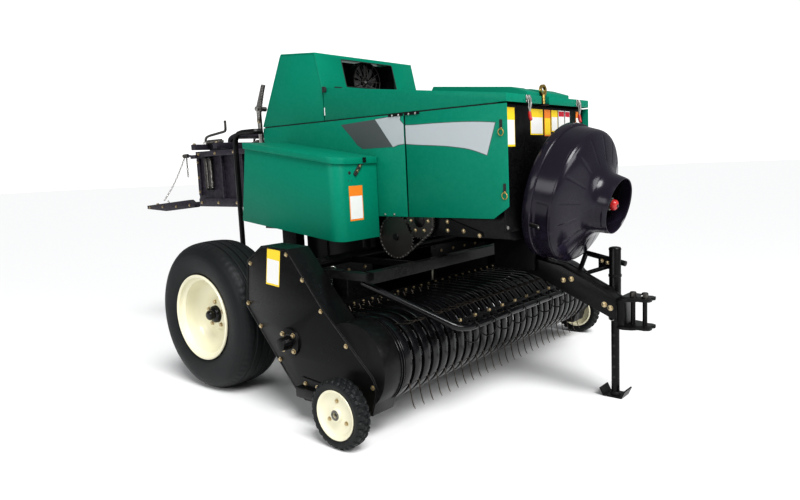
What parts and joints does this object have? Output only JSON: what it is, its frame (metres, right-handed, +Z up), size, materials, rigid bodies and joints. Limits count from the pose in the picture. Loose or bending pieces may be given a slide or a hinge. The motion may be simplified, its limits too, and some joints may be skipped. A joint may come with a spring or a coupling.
{
  "type": "square baler",
  "caption": "Towed pickup baler with bale chamber, tine pickup, knotter hood, twine boxes, opening panels, shielded flywheel, drop chute and parking jack.",
  "frame": {"origin": "on the floor under the centre of the bounding box", "axes": "+X forward towards the hitch, +Y to the machine's left, +Z up"},
  "size_m": [3.627, 2.175, 1.729],
  "materials": {
    "green_paint": "semi-gloss green paint",
    "black_paint": "semi-gloss black paint",
    "chamber_paint": "satin dark grey paint",
    "shield_plastic": "glossy dark plum-grey plastic",
    "rim_paint": "semi-gloss cream paint",
    "rubber": "matte black rubber",
    "bare_steel": "bare or zinc-plated steel",
    "cast_iron": "painted casting"
  },
  "bodies": {
    "frame": {"main_frame": "black_paint", "axle_beam": "black_paint", "tongue": "black_paint", "hitch_clevis": "black_paint", "jack_housing": "black_paint", "chamber_floor": "chamber_paint", "chamber_side_right": "chamber_paint", "chamber_side_left": "chamber_paint", "chamber_top": "chamber_paint", "density_crank_right": "bare_steel", "density_crank_left": "bare_steel", "rear_pipe": "chamber_paint", "knotter_hood": "green_paint", "knotter_stack": "cast_iron", "fan_shroud": "black_paint", "trip_arm": "bare_steel", "rear_guard_tube": "black_paint", "side_panel_right": "green_paint", "side_panel_left": "green_paint", "front_panel": "black_paint", "lifting_spine": "black_paint", "twine_box_right": "green_paint", "twine_box_left": "green_paint", "flywheel_shield": "shield_plastic", "gearbox": "cast_iron", "drive_sprocket": "bare_steel", "feed_housing": "black_paint"},
    "jack": {"jack_leg": "black_paint"},
    "wheel_right": {"main_tyre_right": "rubber", "main_rim_right": "rim_paint"},
    "wheel_left": {"main_tyre_left": "rubber", "main_rim_left": "rim_paint"},
    "door_right": {"side_door_right": "green_paint"},
    "door_left": {"side_door_left": "green_paint"},
    "cover_right": {"top_cover_right": "green_paint"},
    "cover_left": {"top_cover_left": "green_paint"},
    "lid_right": {"twine_lid_right": "green_paint"},
    "lid_left": {"twine_lid_left": "green_paint"},
    "fan": {"fan_rotor": "black_paint"},
    "flywheel": {"flywheel": "cast_iron"},
    "chute": {"bale_chute": "chamber_paint"},
    "pickup": {"pickup_frame": "black_paint", "pickup_side_right": "black_paint", "pickup_side_left": "black_paint", "pickup_bands": "black_paint", "pickup_pan": "black_paint"},
    "reel": {"tine_reel": "black_paint"},
    "auger": {"auger": "black_paint"},
    "windguard": {"windguard": "black_paint"},
    "gauge_right": {"gauge_tyre_right": "rubber", "gauge_rim_right": "rim_paint"},
    "gauge_left": {"gauge_tyre_left": "rubber", "gauge_rim_left": "rim_paint"}
  },
  "joints": [
    {"name": "jack_slide", "type": "slide", "parent": "frame", "child": "jack", "axis": [0, 0, 1], "range_m": [0, 0.24]},
    {"name": "wheel_right_spin", "type": "hinge", "parent": "frame", "child": "wheel_right", "pos_m": [-0.15, -0.829, 0.381], "axis": [0, 1, 0], "continuous": true},
    {"name": "wheel_left_spin", "type": "hinge", "parent": "frame", "child": "wheel_left", "pos_m": [-0.15, 0.829, 0.381], "axis": [0, 1, 0], "continuous": true},
    {"name": "door_right_hinge", "type": "hinge", "parent": "frame", "child": "door_right", "pos_m": [0.787, -0.39, 1.1], "axis": [0, 0, -1], "range_deg": [0, 100]},
    {"name": "door_left_hinge", "type": "hinge", "parent": "frame", "child": "door_left", "pos_m": [0.787, 0.39, 1.1], "axis": [0, 0, 1], "range_deg": [0, 100]},
    {"name": "cover_right_hinge", "type": "hinge", "parent": "frame", "child": "cover_right", "pos_m": [0.2455, -0.24, 1.52], "axis": [0, -1, 0], "range_deg": [0, 65]},
    {"name": "cover_left_hinge", "type": "hinge", "parent": "frame", "child": "cover_left", "pos_m": [0.2455, 0.185, 1.52], "axis": [0, -1, 0], "range_deg": [0, 65]},
    {"name": "lid_right_hinge", "type": "hinge", "parent": "frame", "child": "lid_right", "pos_m": [0.2665, -0.399, 1.2055], "axis": [-0.9885, 0, 0.151], "range_deg": [0, 80]},
    {"name": "lid_left_hinge", "type": "hinge", "parent": "frame", "child": "lid_left", "pos_m": [0.2665, 0.399, 1.2055], "axis": [0.9885, 0, -0.151], "range_deg": [0, 80]},
    {"name": "fan_spin", "type": "hinge", "parent": "frame", "child": "fan", "pos_m": [0.13, 0.04, 1.585], "axis": [1, 0, 0], "continuous": true},
    {"name": "flywheel_spin", "type": "hinge", "parent": "frame", "child": "flywheel", "pos_m": [1.37, 0, 0.962], "axis": [0.9703, 0, -0.2419], "continuous": true},
    {"name": "chute_fold", "type": "hinge", "parent": "frame", "child": "chute", "pos_m": [-1.205, 0, 0.892], "axis": [0, 1, 0], "range_deg": [0, 85]},
    {"name": "pickup_lift", "type": "hinge", "parent": "frame", "child": "pickup", "pos_m": [0.45, 0, 0.66], "axis": [0, -1, 0], "range_deg": [0, 8]},
    {"name": "reel_spin", "type": "hinge", "parent": "pickup", "child": "reel", "pos_m": [0.92, 0, 0.3], "axis": [0, 1, 0], "continuous": true},
    {"name": "auger_spin", "type": "hinge", "parent": "pickup", "child": "auger", "pos_m": [0.55, 0, 0.354], "axis": [0, 1, 0], "continuous": true},
    {"name": "windguard_swing", "type": "hinge", "parent": "pickup", "child": "windguard", "pos_m": [0.83, 0, 0.61], "axis": [0, 1, 0], "range_deg": [0, 8]},
    {"name": "gauge_right_spin", "type": "hinge", "parent": "pickup", "child": "gauge_right", "pos_m": [0.948, -1.053, 0.143], "axis": [0, 1, 0], "continuous": true},
    {"name": "gauge_left_spin", "type": "hinge", "parent": "pickup", "child": "gauge_left", "pos_m": [0.948, 1.053, 0.143], "axis": [0, 1, 0], "continuous": true}
  ]
}
